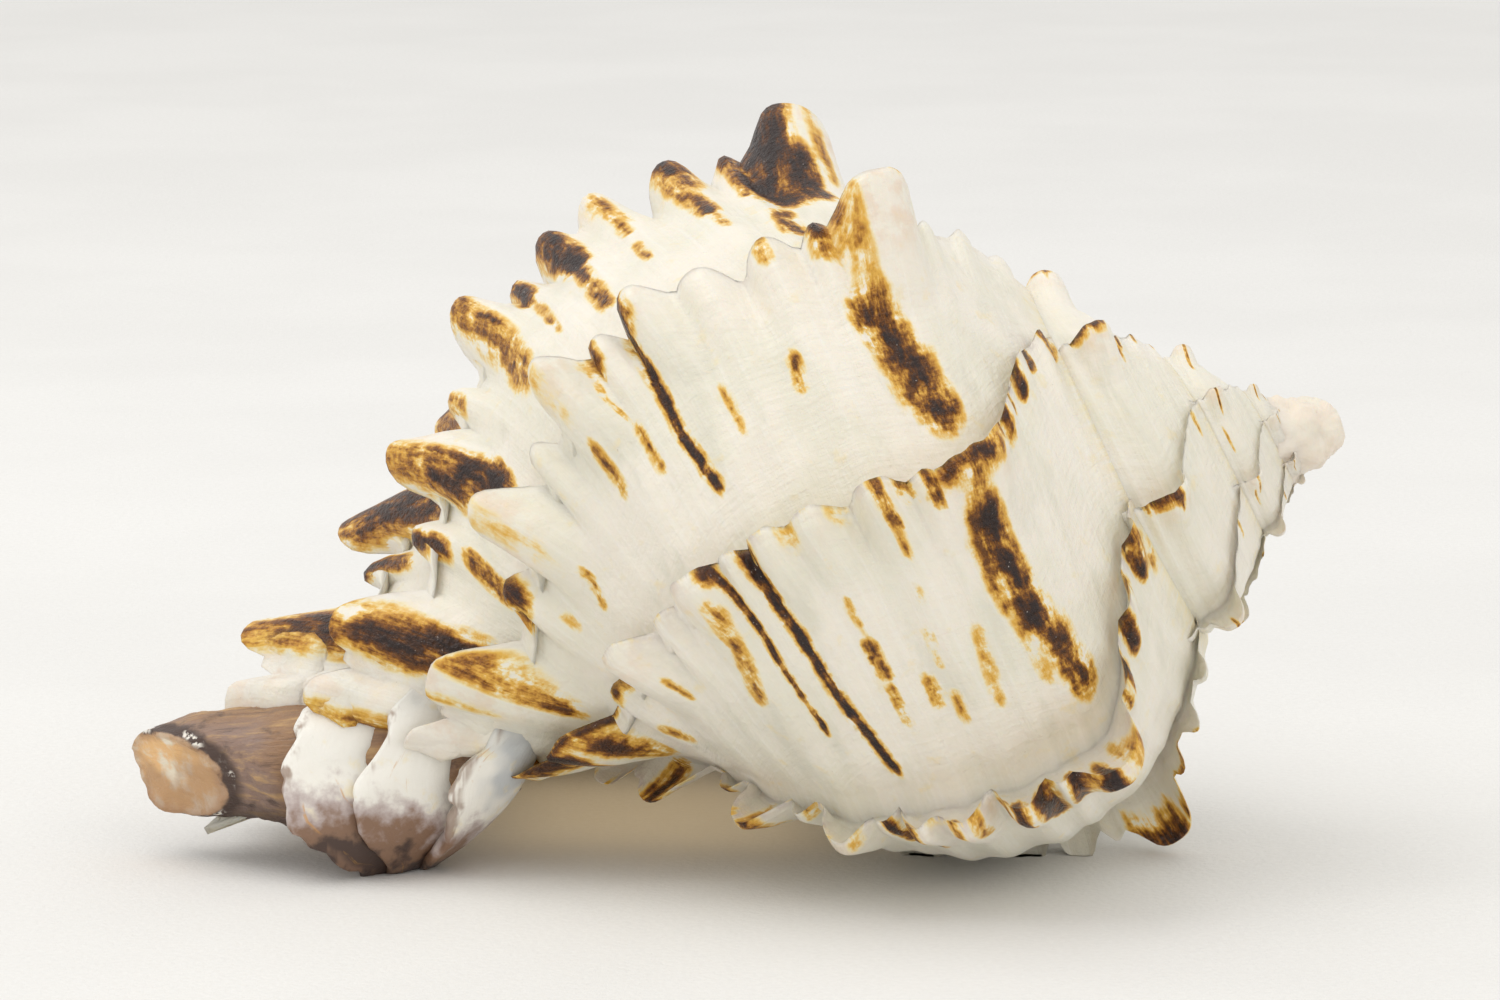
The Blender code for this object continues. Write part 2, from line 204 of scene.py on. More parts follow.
def panel(k, rows):
    # the skin from lip k to lip k + 1. Each row is (t, depth): depth is only for the lip's front
    t = np.array([r[0] for r in rows])[:, None]
    depth = np.array([r[1] for r in rows])[:, None]
    older, newer = lipRow(k), lipRow(k + 1)
    base = older[0] + (newer[0] - older[0]) * t
    angle = base + lip[None, :, 2]
    size = growth(np.maximum(angle, base))
    flareFrom = skinValues["flareFrom"]
    flare = np.where(depth > 0, 1 - depth**2.2, smoothStep((t - flareFrom) / (1 - flareFrom)))
    flare = np.where((t == 0) & (depth > 0), 0, flare)
    drop = np.where(depth > 0, 1 - depth**0.85, 1)
    width = np.radians(newer[0] - older[0]) * lip[None, :, 1]
    start = 1 - np.minimum(0.9, skinValues["spineRun"] / width)
    rise = np.clip((t - start) / (skinValues["spineTop"] - start), 0, 1) ** skinValues["spinePower"]
    spine = drop * rise * (1 - 0.06 * smoothStep((t - 0.955) / 0.045))
    spineAlong, spineOut, cords = spineShapes(newer[1], newer[2], k + 1)
    atStart = skinValues["cordAtStart"]
    cord = skinValues["cordHeight"] * cords * (atStart + (1 - atStart) * flare)
    shiftFrom, shiftTo = growthValues["shiftFrom"], growthValues["shiftTo"]
    upper = smoothStep((shiftFrom - lip[:, 0]) / (shiftFrom - shiftTo))
    shift = older[3] + (newer[3] - older[3]) * t
    sooner = skinValues["tuckSooner"] if k >= 4 else 0
    tuck = smoothStep((lip[:, 0] - skinValues["tuckFrom"] + sooner) / skinValues["tuckRun"])
    along = size * (lipAlong + spine * spineAlong + shift * upper)
    drawnIn = (1 - skinValues["panelSink"] * (1 - flare)) * (1 - skinValues["tuckShare"] * tuck)
    radius = size * (lip[:, 1] * drawnIn + spine * spineOut + cord)
    if k == 0:
        share, middle, spread = skinValues["belly"]
        full = np.exp(-((lip[:, 0] - middle) / spread) ** 2) * np.sin(math.pi * np.clip(t, 0, 1)) ** 0.5
        radius = radius * (1 + share * full)
    lead = spine * skinValues["spineLead"] * np.hypot(spineAlong, spineOut) / lip[:, 1]
    setback = np.minimum(depth * skinValues["lipDepth"] / lip[:, 1], math.radians(skinValues["mostSetback"]))
    wander = noiseField(np.stack(np.broadcast_arrays(lip[None, :, 0], 9.0 * k, 0.0), -1) * mm, 0.45, 3)
    edge = smoothStep((t - 0.82) / 0.18) * wander * skinValues["edgeWander"] / lip[:, 1]
    turn = np.radians(angle) + lead - setback + edge
    points = toWorld(along, radius, turn)
    relief = sum(height * noiseField(points, scale, seed) for height, scale, seed in skinValues["relief"])
    relief *= skinValues["oldRelief"] if k < 0 else 1
    points = toWorld(along, radius + size * relief, turn)
    # distance behind the lip in millimetres, negative on the panel and positive on the lip's front
    reach = (t - 1) * width * size + depth * skinValues["lipDepth"] * size
    reach = np.where((t == 0) & (depth > 0), -width * size, reach)
    return points, reach, spine * np.hypot(spineAlong, spineOut)


def panelRows(count, edge, front):
    rows = [(0.0, 1.0)] + [(float(t), 0.0) for t in np.linspace(0.04, 0.72, count)]
    rows += [(float(t), 0.0) for t in np.linspace(0.74, 1.0, edge)]
    return rows + [(1.0, d) for d in front]


print("growth set out")

hollowValues = {
    # outline of the hollow where the last lip ends: along the axis and radius
    "outer": ((41, 36), (47, 41.5), (56, 44.6), (65, 44.8), (73, 43.6), (79, 41), (84, 37.4), (88, 32),
              (91.5, 25), (94, 17)),
    "inner": ((93, 10.5), (85, 9), (72, 9.5), (62, 11), (55, 15), (50, 20), (45, 25.5), (40.5, 30.5)),
    "turn": 150,
    "taper": 0.3,
    "rows": 30,
    "innerColumns": 44,
}

canalValues = {
    # along the axis, rise above it and radius
    "tube": ((84.0, -1.0, 5.5), (92.0, -0.5, 7.0), (99.0, 1.5, 6.8), (107.0, 4.2, 6.0),
             (113.0, 5.4, 5.5), (118.0, 6.2, 4.8)),
    "sides": 72,
    "rows": 64,
    "endSlope": 8.0,
    "slitAngle": 225,
    "slitWidth": 2.4,
    # edges of the plates that older lips left round the canal: along, radius, angle
    "plates": (
        ((77, 8, 40), (80, 10.5, 20), (84.2, 9.3, -5), (89.1, 9.8, -24), (93.2, 10.6, -62), (97, 10.8, -100)),
        ((84, 7.4, 70), (90, 9.6, 44), (95.5, 9.2, 8), (98.2, 9.7, -15), (98.5, 10.4, -55), (97.4, 10.8, -100)),
        ((92, 7, 100), (98, 9.2, 75), (103.3, 9, 25), (105, 9.2, 4), (103, 10, -36), (97.4, 10.8, -100)),
    ),
    "plateRoot": 4.0,
    "plateLength": 10.0,
    # below 1 the plates' backs swell out
    "plateSwell": 0.3,
    "plateRows": 84,
}


class Skin:
    # vertices and faces gathered for one mesh, with the numbers that its material reads
    def __init__(self):
        self.points, self.faces, self.data = [], [], []
        self.count = 0

    def add(self, points, **data):
        flat = points.reshape(-1, 3)
        first = self.count
        self.points.append(flat)
        shape = points.shape[:-1]
        self.data.append({name: np.broadcast_to(values, shape).reshape(-1) for name, values in data.items()})
        self.count += len(flat)
        return first + np.arange(len(flat)).reshape(points.shape[:-1])

    def quads(self, grid, around=False):
        wide = grid if not around else np.column_stack([grid, grid[:, :1]])
        a, b, c, d = wide[:-1, :-1], wide[:-1, 1:], wide[1:, 1:], wide[1:, :-1]
        self.faces += np.stack([a, b, c, d], -1).reshape(-1, 4).tolist()

    def fan(self, loop, middle):
        loop = list(loop)
        for a, b in zip(loop, loop[1:] + loop[:1]):
            self.faces.append([a, b, middle])

    def capEnds(self, grid, points, reaches, **data):
        # the first and the last ring are closed round their middles
        for row, reach in zip((0, -1), reaches):
            middle = self.add(points[row : row + 1 or None].mean(axis=1), reach=reach, **data)
            self.fan(grid[row] if row == 0 else grid[row][::-1], middle[0])


def buildSkin():
    skin = Skin()
    front = (0.02, 0.06, 0.13, 0.22, 0.34, 0.48, 0.64, 0.8)
    spireFront = (0.06, 0.3, 0.65)
    lips = growthValues["lips"]
    few = skinValues["spireColumns"]
    grids = []
    for k in range(-growthValues["spireLips"], len(lips) - 1):
        if k < -2:
            rows = panelRows(skinValues["spireRows"] - 7, 7, spireFront)
        elif k < 0:
            rows = panelRows(9, 8, spireFront)
        elif k == len(lips) - 2:
            rows = panelRows(14, 12, front)
        else:
            rows = panelRows(skinValues["panelRows"], skinValues["edgeRows"], front)
        points, reach, spine = panel(k, rows)
        columns = few if k < -2 else len(lip)
        base = lipRow(k)[0] + (lipRow(k + 1)[0] - lipRow(k)[0]) * np.array([[r[0] - 0.1 * r[1]] for r in rows])
        size = growth(base)
        inner = np.array([[lip[0, 0] * 0.96, lipAlong[columns - 1]]])
        inner = toWorld(inner * size, 1.5 * size, np.radians(base))
        grid = skin.add(points[:, :columns], along=lip[None, :columns, 0], lipAt=float(k + 1),
                        reach=reach[:, :columns], spine=spine[:, :columns], part=0.0)
        ends = skin.add(inner, along=0.0, lipAt=float(k + 1), reach=-20.0, spine=0.0, part=0.0)
        # the first column meets the axis at the suture end and the last one at the canal end
        grids.append((grid, ends))
    for (grid, ends), (nextGrid, nextEnds) in zip(grids, grids[1:] + [(None, None)]):
        whole = np.column_stack([ends[:, :1], grid, ends[:, 1:]])
        skin.quads(whole, around=True)
        if nextGrid is None:
            continue
        shared = min(grid.shape[1], nextGrid.shape[1])
        seam = np.array([[ends[-1, 0], *grid[-1, :shared]], [nextEnds[0, 0], *nextGrid[0, :shared]]])
        skin.quads(seam)
        # what the wider ring has more is closed by strips to the narrow ring's end
        lower = [grid[-1, shared - 1], ends[-1, 1], ends[-1, 0]]
        upper = list(nextGrid[0, shared - 1:]) + [nextEnds[0, 1], nextEnds[0, 0]]
        while len(upper) > len(lower):
            skin.faces.append([lower[0], upper[1], upper[0]])
            upper.pop(0)
        for i in range(len(lower) - 1):
            skin.faces.append([lower[i], lower[i + 1], upper[i + 1], upper[i]])
    grid, ends = grids[0]
    skin.fan([ends[0, 0], *grid[0], ends[0, 1]][::-1], skin.add(
        toWorld(np.array([lip[0, 0] * growth(lipRow(-growthValues["spireLips"])[0])]), 0.0, 0.0),
        along=0.0, lipAt=0.0, reach=-20.0, spine=0.0, part=0.0)[0])
    closeMouth(skin, *grids[-1])
    return skin


def closeMouth(skin, grid, ends):
    # from the last lip's front over a rounded rim into the hollow, back round the whorl
    last = growthValues["lips"][-1][0]
    share = np.clip((lip[:, 0] - lip[0, 0]) / (97 - lip[0, 0]), 0, 1) * 0.93 + lipArc / lipArc[-1] * 0.07
    outer = smoothCurve(hollowValues["outer"], 400)
    outer = np.column_stack([np.interp(share, np.linspace(0, 1, 400), outer[:, i]) for i in (0, 1)])
    inner = smoothCurve((hollowValues["outer"][-1],) + hollowValues["inner"] + (hollowValues["outer"][0],),
                        hollowValues["innerColumns"] + 2)[1:-1]
    outline = np.vstack([outer, inner])
    middle = outline.mean(axis=0)
    lead = np.interp(outline[:, 0], lip[:, 0], lip[:, 2])
    axisAlong = np.linspace(lipAlong[-1], lip[0, 0] * 0.96, hollowValues["innerColumns"] + 2)[1:-1]
    setback = 0.8 * skinValues["lipDepth"] / lip[:, 1]
    back0 = np.degrees(np.concatenate([np.minimum(setback, math.radians(14)), np.full(len(inner), 0.08)]))
    rimRadius = np.concatenate([lip[:, 1] * 0.97, np.zeros(len(inner))])
    rimAlong = np.concatenate([lipAlong, axisAlong])
    rimLead = np.concatenate([lip[:, 2], np.full(len(inner), lip[-1, 2])])
    rings = []
    rimBlends = (0.35, 0.7, 0.92)
    for blend in rimBlends:
        at = np.array([rimAlong, rimRadius]).T * (1 - blend) + outline * blend
        turn = last - back0 * (1 - 0.25 * math.sin(math.pi * blend)) + rimLead * (1 - blend) + lead * blend
        rings.append((at, turn))
    for back in np.linspace(0, 1, hollowValues["rows"]) ** 1.2 * hollowValues["turn"]:
        narrow = 1 - hollowValues["taper"] * back / hollowValues["turn"]
        rings.append((middle + (outline - middle) * narrow, last - back0 - back + lead))
    points = []
    for at, turn in rings:
        size = growth(np.maximum(turn, turn - lead))
        points.append(toWorld(size * at[:, 0], size * at[:, 1], np.radians(turn)))
    points = np.array(points)
    points += 0.12 * mm * noiseField(points, 0.3, 6)[..., None]
    inside = (np.arange(len(rings)) >= len(rimBlends))[:, None] * 1.0
    backs = np.linspace(0, 60, len(rings))[:, None]
    axisPoints = toWorld(axisAlong * growth(last), 0.0, 0.0)[None]
    axisIds = skin.add(axisPoints, along=90.0, lipAt=6.0, reach=4.0, spine=0.0, part=1.0)[0]
    hollow = skin.add(points, along=np.concatenate([lip[:, 0], np.full(len(inner), 90.0)])[None], lipAt=6.0,
                      reach=4 + backs, spine=0.0, part=1 + inside)
    rim = np.array([[*grid[-1], *axisIds]])
    skin.quads(np.vstack([rim, hollow[:1]]))
    skin.quads(hollow, around=True)
    # the rim's two ends meet at the axis
    skin.faces.append([grid[-1, 0], ends[-1, 0], axisIds[-1]])
    skin.faces.append([grid[-1, 0], axisIds[-1], hollow[0, -1], hollow[0, 0]])
    skin.faces.append([grid[-1, -1], axisIds[0], ends[-1, 1]])
    skin.faces.append([int(i) for i in (ends[-1, 0], ends[-1, 1], *axisIds)])
    end = skin.add(points[-1:].mean(axis=1), along=90.0, lipAt=6.0, reach=60.0, spine=0.0, part=2.0)
    skin.fan(hollow[-1][::-1], end[0])


def buildCanal(skin):
    values = canalValues
    path = smoothCurve(values["tube"], values["rows"])
    turn = np.linspace(0, 2 * math.pi, values["sides"], endpoint=False)
    slit = math.radians(values["slitAngle"])
    off = np.abs((turn - slit + math.pi) % (2 * math.pi) - math.pi)
    points, ways = [], []
    step = (path[-1, 0] - path[0, 0]) / (len(path) - 1)
    for i, (along, rise, radius) in enumerate(path):
        end = smoothStep((along - 104) / 14)
        dent = np.clip(1 - off * radius / (values["slitWidth"] * 0.5 + 0.35), 0, 1) ** 0.5
        dent = (1 - smoothStep((along - 109) / 4)) * dent
        flow = 1 + 0.03 * np.sin(3 * turn + along * 0.25) - 0.72 * dent * smoothStep((along - 90) / 6)
        across = radius * flow * np.cos(turn)
        up = radius * flow * np.sin(turn) + rise
        at = along - end * values["endSlope"] * (0.5 + 0.5 * np.cos(turn + 0.35)) ** 1.3
        points.append(toWorld(at, np.hypot(across, up), np.arctan2(up, across)))
        ways.append((i - len(path) + 1) * step * np.ones_like(turn))
    # the worn end curls in to a blunt oval face
    for shrink, back in ((0.95, -0.2), (0.86, 0.1), (0.7, 0.35), (0.5, 0.5), (0.3, 0.5), (0.12, 0.4)):
        along, rise, radius = path[-1]
        across = radius * shrink * np.cos(turn)
        up = radius * shrink * np.sin(turn) + rise
        at = along - values["endSlope"] * (0.5 + 0.5 * shrink * np.cos(turn + 0.35)) ** 1.3 - back
        points.append(toWorld(at, np.hypot(across, up), np.arctan2(up, across)))
        ways.append(radius * (1 - shrink) * np.ones_like(turn))
    points = np.array(points)
    points += 0.35 * mm * (noiseField(points, 0.3, 8) + 0.4 * noiseField(points, 1.1, 9))[..., None]
    data = {"along": 120.0, "lipAt": -8.0, "spine": 0.0, "part": 3.0}
    grid = skin.add(points, reach=np.array(ways), **data)
    skin.quads(grid[:, ::-1], around=True)
    skin.capEnds(grid, points, (-34.0, 5.0), **data)
    for n, edge in enumerate(values["plates"]):
        rows = smoothCurve(edge, values["plateRows"])
        ragged = 0
        for share, waves, seed in ((1.0, 0.05, 31), (0.5, 0.13, 32)):
            places = np.stack([rows[:, 2] * waves, np.full(len(rows), 5.0 * n), np.zeros(len(rows))], -1)
            ragged = ragged + share * noiseField(places * mm, 1.0, seed)
        rootAlong = -values["plateLength"]
        # section of a plate: up its back, over the thin edge and down its hollow front
        back = [(rootAlong * (1 - s), s ** values["plateSwell"]) for s in np.linspace(0, 0.97, 14) ** 1.4]
        section = []
        for (along, radius, angle), rag in zip(rows, ragged):
            grow = radius - values["plateRoot"]
            line = [(a + max(0, a + 3) * rag * 0.5, values["plateRoot"] + r * grow) for a, r in back]
            line += [(a + 1.5 * rag, r) for a, r in ((0.15, radius), (0.4, radius - 0.3), (0.4, radius - 1.0),
                                                     (-0.6, radius - 2.2), (-1.6, radius - 3.4))]
            line.append((-2.4, values["plateRoot"] - 0.6))
            section.append([(along + a, r, math.radians(angle)) for a, r in line])
        section = np.array(section)
        points = toWorld(section[..., 0], section[..., 1], section[..., 2])
        bumps = noiseField(points, 0.3, 10 + n)
        points += 0.35 * mm * (bumps + 0.4 * noiseField(points, 0.9, 20 + n))[..., None]
        s = np.concatenate([np.linspace(-9, -0.3, 14), [0, 0.5, 1.0, 2.2, 3.4, 4.5]])
        grid = skin.add(points, along=np.linspace(105, 119, len(rows))[:, None], lipAt=2.0 + n,
                        reach=s[None], spine=0.0, part=4.0)
        skin.quads(grid[:, ::-1], around=True)
        skin.capEnds(grid, points, (-4.0, -4.0), along=110.0, lipAt=4.0, spine=0.0, part=4.0)


tipValues = {
    # outline of the worn first turns: along the axis and radius
    "outline": ((-1.55, 0.3), (-1.35, 1.3), (-0.7, 2.2), (0.5, 2.9), (2.0, 3.5), (4.2, 4.1), (6.8, 4.6),
                (9.5, 4.2)),
    "lumps": ((0.75, 0.42, 4), (0.3, 1.1, 5), (0.12, 2.4, 7)),
    "sides": 60,
    "rows": 44,
    "groove": 0.2,
    "grooveTurn": 1.7,
}


def buildTip(skin):
    # the first turns are worn to a blunt round end with a shallow groove winding up it
    turn = np.linspace(0, 2 * math.pi, tipValues["sides"], endpoint=False)
    path = smoothCurve(tipValues["outline"], tipValues["rows"])
    along, radius = path[:, :1] + 0 * turn, path[:, 1:] + 0 * turn
    wave = (turn / (2 * math.pi) + np.log(np.maximum(along + 2.5, 0.4)) * tipValues["grooveTurn"]) % 1
    groove = tipValues["groove"] * np.exp(-((np.minimum(wave, 1 - wave) / 0.12) ** 2))
    radius = radius - groove * smoothStep((along + 1.4) / 1.5)
    points = toWorld(along, radius, turn + 0 * along)
    lumps = sum(height * noiseField(points, scale, seed) for height, scale, seed in tipValues["lumps"])
    points = toWorld(along, radius + lumps, turn + 0 * along)
    data = {"along": 30.0, "lipAt": -20.0, "spine": 0.0, "part": 5.0}
    grid = skin.add(points, reach=-8.0, **data)
    skin.quads(grid[::-1], around=True)
    skin.capEnds(grid, points, (-8.0, -8.0), **data)


def makeShell():
    skin = buildSkin()
    buildTip(skin)
    buildCanal(skin)
    points = np.vstack(skin.points)
    # what would lie under the resting plane is worn flat on it
    points[:, 2] = np.maximum(points[:, 2], 0)
    mesh = bpy.data.meshes.new("murexShell")
    mesh.from_pydata(points.tolist(), [], skin.faces)
    shell = bpy.data.objects.new("murexShell", mesh)
    bpy.context.scene.collection.objects.link(shell)
    data = {name: np.concatenate([block[name] for block in skin.data]) for name in skin.data[0]}
    bpy.ops.object.select_all(action="DESELECT")
    shell.select_set(True)
    bpy.context.view_layer.objects.active = shell
    bpy.ops.object.mode_set(mode="EDIT")
    bpy.ops.mesh.select_all(action="SELECT")
    bpy.ops.mesh.normals_make_consistent(inside=False)
    bpy.ops.object.mode_set(mode="OBJECT")
    mesh.shade_smooth()
    return shell, data


shell, shellData = makeShell()
triangles = sum(len(p.vertices) - 2 for p in shell.data.polygons)
print("shell:", len(shell.data.vertices), "points,", triangles, "triangles")

# What is dark or ochre on the shell. Places are along the axis and in millimetres behind (-) or in front (+)
# of a lip. Each lip has its strokes: place where one starts, place where it ends, half width, darkness, fading edge.
markValues = {
    "strokes": {
        # the lip that shows against the background, from the shoulder spine to the canal
        4: (
            (50.2, -11, 50, 1, 2.9, 1, 1), (52.6, -8, 52.4, 0, 1.6, 1, 0.9),
            (46.8, -11, 47.4, -6.8, 1.9, 1, 0.9), (45.2, -1, 44, -7, 0.7, 0.38, 0.8),
            (53.6, -3.2, 53.6, 1, 0.9, 0.9, 0.7), (54.1, -9.3, 54.1, -8.2, 0.6, 0.5, 0.5),
            (59, -5, 59, 1, 1.7, 0.9, 1.1), (59.4, -12.6, 59.4, -8.6, 1.1, 0.72, 0.8),
            (59, -17, 59.2, -13.6, 0.6, 0.5, 0.6), (60.6, -8, 60.2, -4.4, 0.5, 0.6, 0.5),
            (67.8, -4.2, 67.6, 0.4, 1.3, 0.42, 1), (68.1, -9, 68, -5.4, 0.6, 0.52, 0.6),
            (68.8, -17, 68.5, -12.6, 0.5, 0.5, 0.5), (66.6, -7.4, 66.6, -6, 0.4, 0.4, 0.4),
            (74.6, -8.6, 74, 1, 1.7, 1, 1), (75.5, -20, 74.8, -9, 0.8, 0.75, 0.7),
            (79.8, -5.4, 79.4, 1, 1, 1, 0.8), (80.6, -16, 80, -6, 0.42, 0.55, 0.5),
            (84.4, -1.2, 84.4, 1, 2.2, 0.5, 1.2), (85.6, -13, 84.6, -3.4, 1.9, 0.5, 1.3),
            (84, -6.4, 83.6, -2.2, 0.5, 0.85, 0.5), (86.3, -12.4, 85.4, -8, 0.5, 0.7, 0.6),
            (90, -3.2, 90, 0.4, 0.9, 0.5, 0.8), (94.2, -4.4, 94.2, 1, 2.6, 0.4, 1.1),
            (93.4, -12, 94.4, -5.2, 2.3, 1, 1.3), (98.3, -3.6, 98.2, 1.4, 1, 1, 0.7),
            (103.6, -2, 103.6, 1.4, 2.7, 0.44, 1), (103.4, -7.2, 104, -3, 2.2, 1, 1.2),
            (112.9, -5.5, 112.6, 3, 1.7, 0.44, 1), (52.8, -21, 52.4, -16, 1, 0.9, 0.9),
            (98.6, -10.6, 98.2, -7.2, 0.9, 0.9, 0.7),
        ),
        # the next younger lip, behind it at the left
        5: (
            (86.1, -5, 86, -3, 0.9, 0.5, 0.7), (94, -3, 94, 1.4, 2.8, 0.46, 1.2),
            (94, -11, 94.1, -3.4, 2.4, 0.95, 1.3), (98.2, -6, 98.2, 1, 0.9, 1, 0.7),
            (103.6, -2.6, 103.6, 1.4, 2.8, 0.42, 1), (103.4, -10, 103.8, -3.6, 2.4, 1, 1.2),
            (112.4, -9, 112.2, 0, 1.3, 0.48, 0.9), (50, -12, 49, 1, 3.4, 1, 1.3),
            (59.2, -8, 59, 1, 1.6, 0.9, 1.1), (67.8, -12, 67.6, 0, 0.8, 0.6, 0.9),
            (75, -13, 74.2, 1, 1.3, 1, 0.9), (79.6, -9, 79.4, 1, 0.7, 0.9, 0.7),
            (85.2, -11, 84.6, -1, 1.7, 0.6, 1.3),
        ),
        # the last lip
        6: (
            (49.6, -16, 48, 2, 3, 1, 1.5), (53.6, -2, 53.6, 3, 0.9, 1, 0.7), (59.2, -11, 59, 2, 1.8, 0.95, 1.2),
            (67.8, -14, 67.5, 1, 0.9, 0.7, 0.9), (75.2, -24, 74.2, 3, 1.2, 1, 0.9),
            (79.8, -17, 79.4, 2, 0.6, 0.9, 0.6), (85.4, -15, 84.4, 2, 1.9, 0.7, 1.4),
            (94, -11, 94, 2, 2.3, 0.95, 1.4), (98.2, -4, 98.2, 3, 0.9, 1, 0.7),
            (103.6, -9, 103.8, 2, 2.3, 1, 1.3), (112.5, -6, 112.5, 1, 1.3, 0.5, 0.9),
        ),
        # the large lip that runs down the middle of the photo
        3: (
            (50.2, -7.5, 50.6, 0.6, 1.1, 0.4, 1.3), (51.6, -3, 51.4, 0.8, 0.7, 0.5, 0.8),
            (48, -17.4, 50.6, -8.4, 2.3, 1, 1.5), (50.9, -16, 51.6, -9, 1.2, 0.44, 1.1),
            (46.4, -14.5, 46, -12, 0.5, 0.36, 0.7), (44.4, -0.6, 44, 1.4, 0.7, 0.45, 0.6),
            (53.5, -2.2, 53.5, 1.4, 1, 0.95, 0.8), (59.6, -1.8, 59.6, 0.8, 0.8, 0.6, 0.7),
            (75.6, -1.6, 75.2, 1, 1.2, 1, 0.8), (80.2, -1.8, 80, 1, 0.9, 0.9, 0.7),
            (80.7, -12.2, 80.6, -7.8, 0.5, 0.56, 0.5), (85.5, -9.6, 85.3, -6.4, 0.6, 0.58, 0.6),
            (70.8, -14.8, 70.6, -10.2, 0.45, 0.45, 0.5), (62.3, -13, 61.7, -10.6, 0.65, 0.62, 0.6),
            (93.9, -9.5, 93.3, -7.8, 0.6, 0.56, 0.5), (97, -6.5, 97, -5.2, 0.4, 0.5, 0.4),
            (84.8, -3, 84.8, 0.5, 1.6, 0.17, 1.2), (93.8, -4, 93.8, 0.6, 1.6, 0.18, 1.4),
            (98, -1.2, 98, 1.6, 1.3, 1, 0.7), (102.2, -5.4, 101.9, -1.6, 1, 1, 0.9),
            (104.8, -2.4, 104.7, -0.4, 0.5, 0.4, 0.5),
        ),
        # the lip below it
        2: (
            (45, -0.9, 50.8, -0.8, 1, 1, 0.9), (48.9, -4.2, 48.4, -1.8, 1.5, 0.46, 1),
            (47.4, -14.6, 48.7, -5.2, 2, 1, 1.2), (45, -23, 47, -15.4, 1.6, 0.86, 1.6),
            (50.4, -13, 50.8, -7, 1, 0.44, 1), (44, -24, 44.6, -17, 0.9, 0.42, 1),
            (49.4, -21, 50, -15.5, 0.8, 0.34, 1), (53.2, -2.4, 53.4, 0.8, 0.75, 1, 0.6),
            (56, -1.6, 56, 0.8, 0.6, 0.9, 0.5), (58.6, -3.4, 58.8, 0.8, 0.65, 1, 0.6),
            (64.3, -1, 64.3, 0.6, 1, 0.25, 0.8), (70.8, -1.6, 70.8, 0.6, 1.1, 0.3, 0.9),
            (76.8, -1.2, 77, 0.8, 1.2, 0.9, 0.7), (81.6, -1, 81.4, 0.8, 0.8, 0.8, 0.6),
            (85.4, -10.6, 83, -3.8, 1.1, 0.52, 0.9), (68.9, -10, 68.9, -8, 0.5, 0.45, 0.5),
            (69, -15, 68.9, -12.6, 0.8, 0.85, 0.7), (69.2, -21, 69, -17, 0.55, 0.55, 0.6),
            (59, -6, 58.8, -4.4, 0.5, 0.45, 0.5), (60.3, -10.4, 60.2, -9, 0.5, 0.4, 0.5),
            (61.8, -16.4, 61.2, -13, 0.5, 0.4, 0.6), (64.3, -20, 64, -18, 0.8, 0.5, 0.7),
            (56.8, -22, 55.2, -15, 0.8, 0.36, 0.8), (62, -23, 61.8, -20, 0.6, 0.35, 0.7),
            (92.3, -6, 92.3, -4.4, 0.5, 0.45, 0.5), (96, -0.4, 104, -0.3, 0.7, 0.95, 0.6),
            (104, -1, 109, -0.8, 1.2, 1, 0.8), (105.4, -3, 105.8, 0.8, 1.5, 1, 0.9),
            (101.6, -6, 101.8, -1.4, 1.3, 0.62, 1), (97, -8, 98, -5, 0.6, 0.4, 0.7),
            (112.5, -4, 112, 1, 1.5, 0.7, 1.4), (29.8, -1.6, 30.6, 0.6, 1.2, 0.95, 0.7),
            (33.4, -1.8, 33.6, 0.8, 0.8, 1, 0.5), (36.4, -2, 36.6, 0.8, 0.9, 1, 0.6),
            (38.8, -1.4, 39, 0.8, 0.7, 1, 0.5), (41.2, -1.8, 41.4, 0.8, 0.8, 1, 0.5),
            (43, -0.8, 43.2, 0.8, 0.6, 0.9, 0.5),
        ),
        # the lowest lip in the photo, the shell's belly and its arch
        1: (
            (47.8, -2.8, 49.8, -1, 1.5, 1, 0.8), (48.6, -5.4, 49, 0.5, 1, 1, 0.8),
            (29.4, -5, 31, -1, 1.3, 0.42, 1.2), (31.6, -3.4, 32, 0.6, 1, 1, 0.7),
            (34.2, -2, 34.4, 0.6, 0.8, 1, 0.6), (36.8, -3.2, 37, 0.6, 1, 1, 0.7),
            (39.4, -2.6, 39.6, 0.6, 0.9, 1, 0.7), (41.4, -1.6, 41.6, 0.6, 0.5, 0.9, 0.5),
            (43.4, -1.8, 45.8, 0.8, 1.7, 0.27, 0.7), (52.4, -4.4, 52.6, 0.5, 1, 1, 0.6),
            (56, -5.6, 56.6, 0.6, 1.2, 1, 0.7), (59.8, -2.6, 59.8, 0.8, 0.9, 1, 0.5),
            (62.2, -1.2, 62, 0.8, 0.7, 0.9, 0.5), (65.4, -3.2, 65.6, 0.8, 0.45, 0.9, 0.45),
            (68.6, -1.4, 68.8, 0.8, 0.6, 0.8, 0.5), (74.2, -6, 75, 0.4, 0.6, 1, 0.55),
            (77.6, -5, 78.4, 0.4, 0.55, 1, 0.5), (82.4, -1, 82.4, 0.6, 0.8, 0.4, 0.7),
            (88.6, -1, 88.6, 0.6, 0.6, 0.55, 0.6), (93, -3, 93.2, 1, 1.2, 0.7, 1),
            (98, -1, 98, 1, 0.8, 0.95, 0.6), (103, -4, 103.4, 1, 1.5, 0.95, 1),
        ),
        # the oldest whole lip, which the shell rests on
        0: ((45, 0.2, 51, 0.2, 0.7, 1, 0.7), (36, -0.2, 43, -0.2, 0.6, 0.75, 0.7)),
        # the spire
